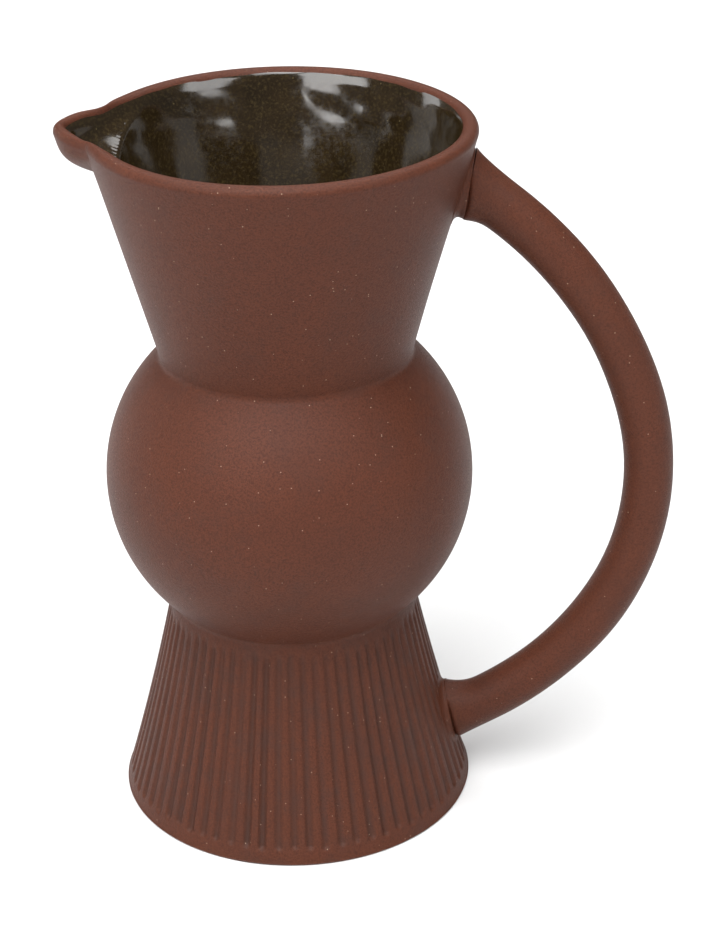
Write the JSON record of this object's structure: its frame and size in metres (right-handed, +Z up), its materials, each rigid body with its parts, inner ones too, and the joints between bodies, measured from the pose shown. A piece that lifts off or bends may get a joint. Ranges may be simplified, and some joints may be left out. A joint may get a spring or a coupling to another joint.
{
  "type": "ceramic pitcher",
  "caption": "Stoneware pitcher with fluted conical base, ball belly, flared collar, small beak, arched round handle and glazed inside.",
  "frame": {"origin": "centre of the foot, on the surface it stands on", "axes": "+Z up along the vessel's axis, +X towards the handle, -X towards the spout"},
  "size_m": [0.2081, 0.1278, 0.25],
  "materials": {
    "bare_clay": "unglazed red-brown stoneware, matt, fine grain",
    "slip": "the same clay applied as slip, matt",
    "glaze": "glossy dark olive-brown glaze"
  },
  "bodies": {
    "root": {"fluted_base": "bare_clay", "base_floor": "bare_clay", "belly": "bare_clay", "collar": "bare_clay", "pouring_spout": "bare_clay", "handle": "bare_clay", "floor_joint": "slip", "waist_joint": "slip", "neck_joint": "slip", "spout_joint": "slip", "upper_handle_joint": "slip", "lower_handle_joint": "slip", "interior_glaze": "glaze", "spout_glaze": "glaze"}
  },
  "joints": []
}
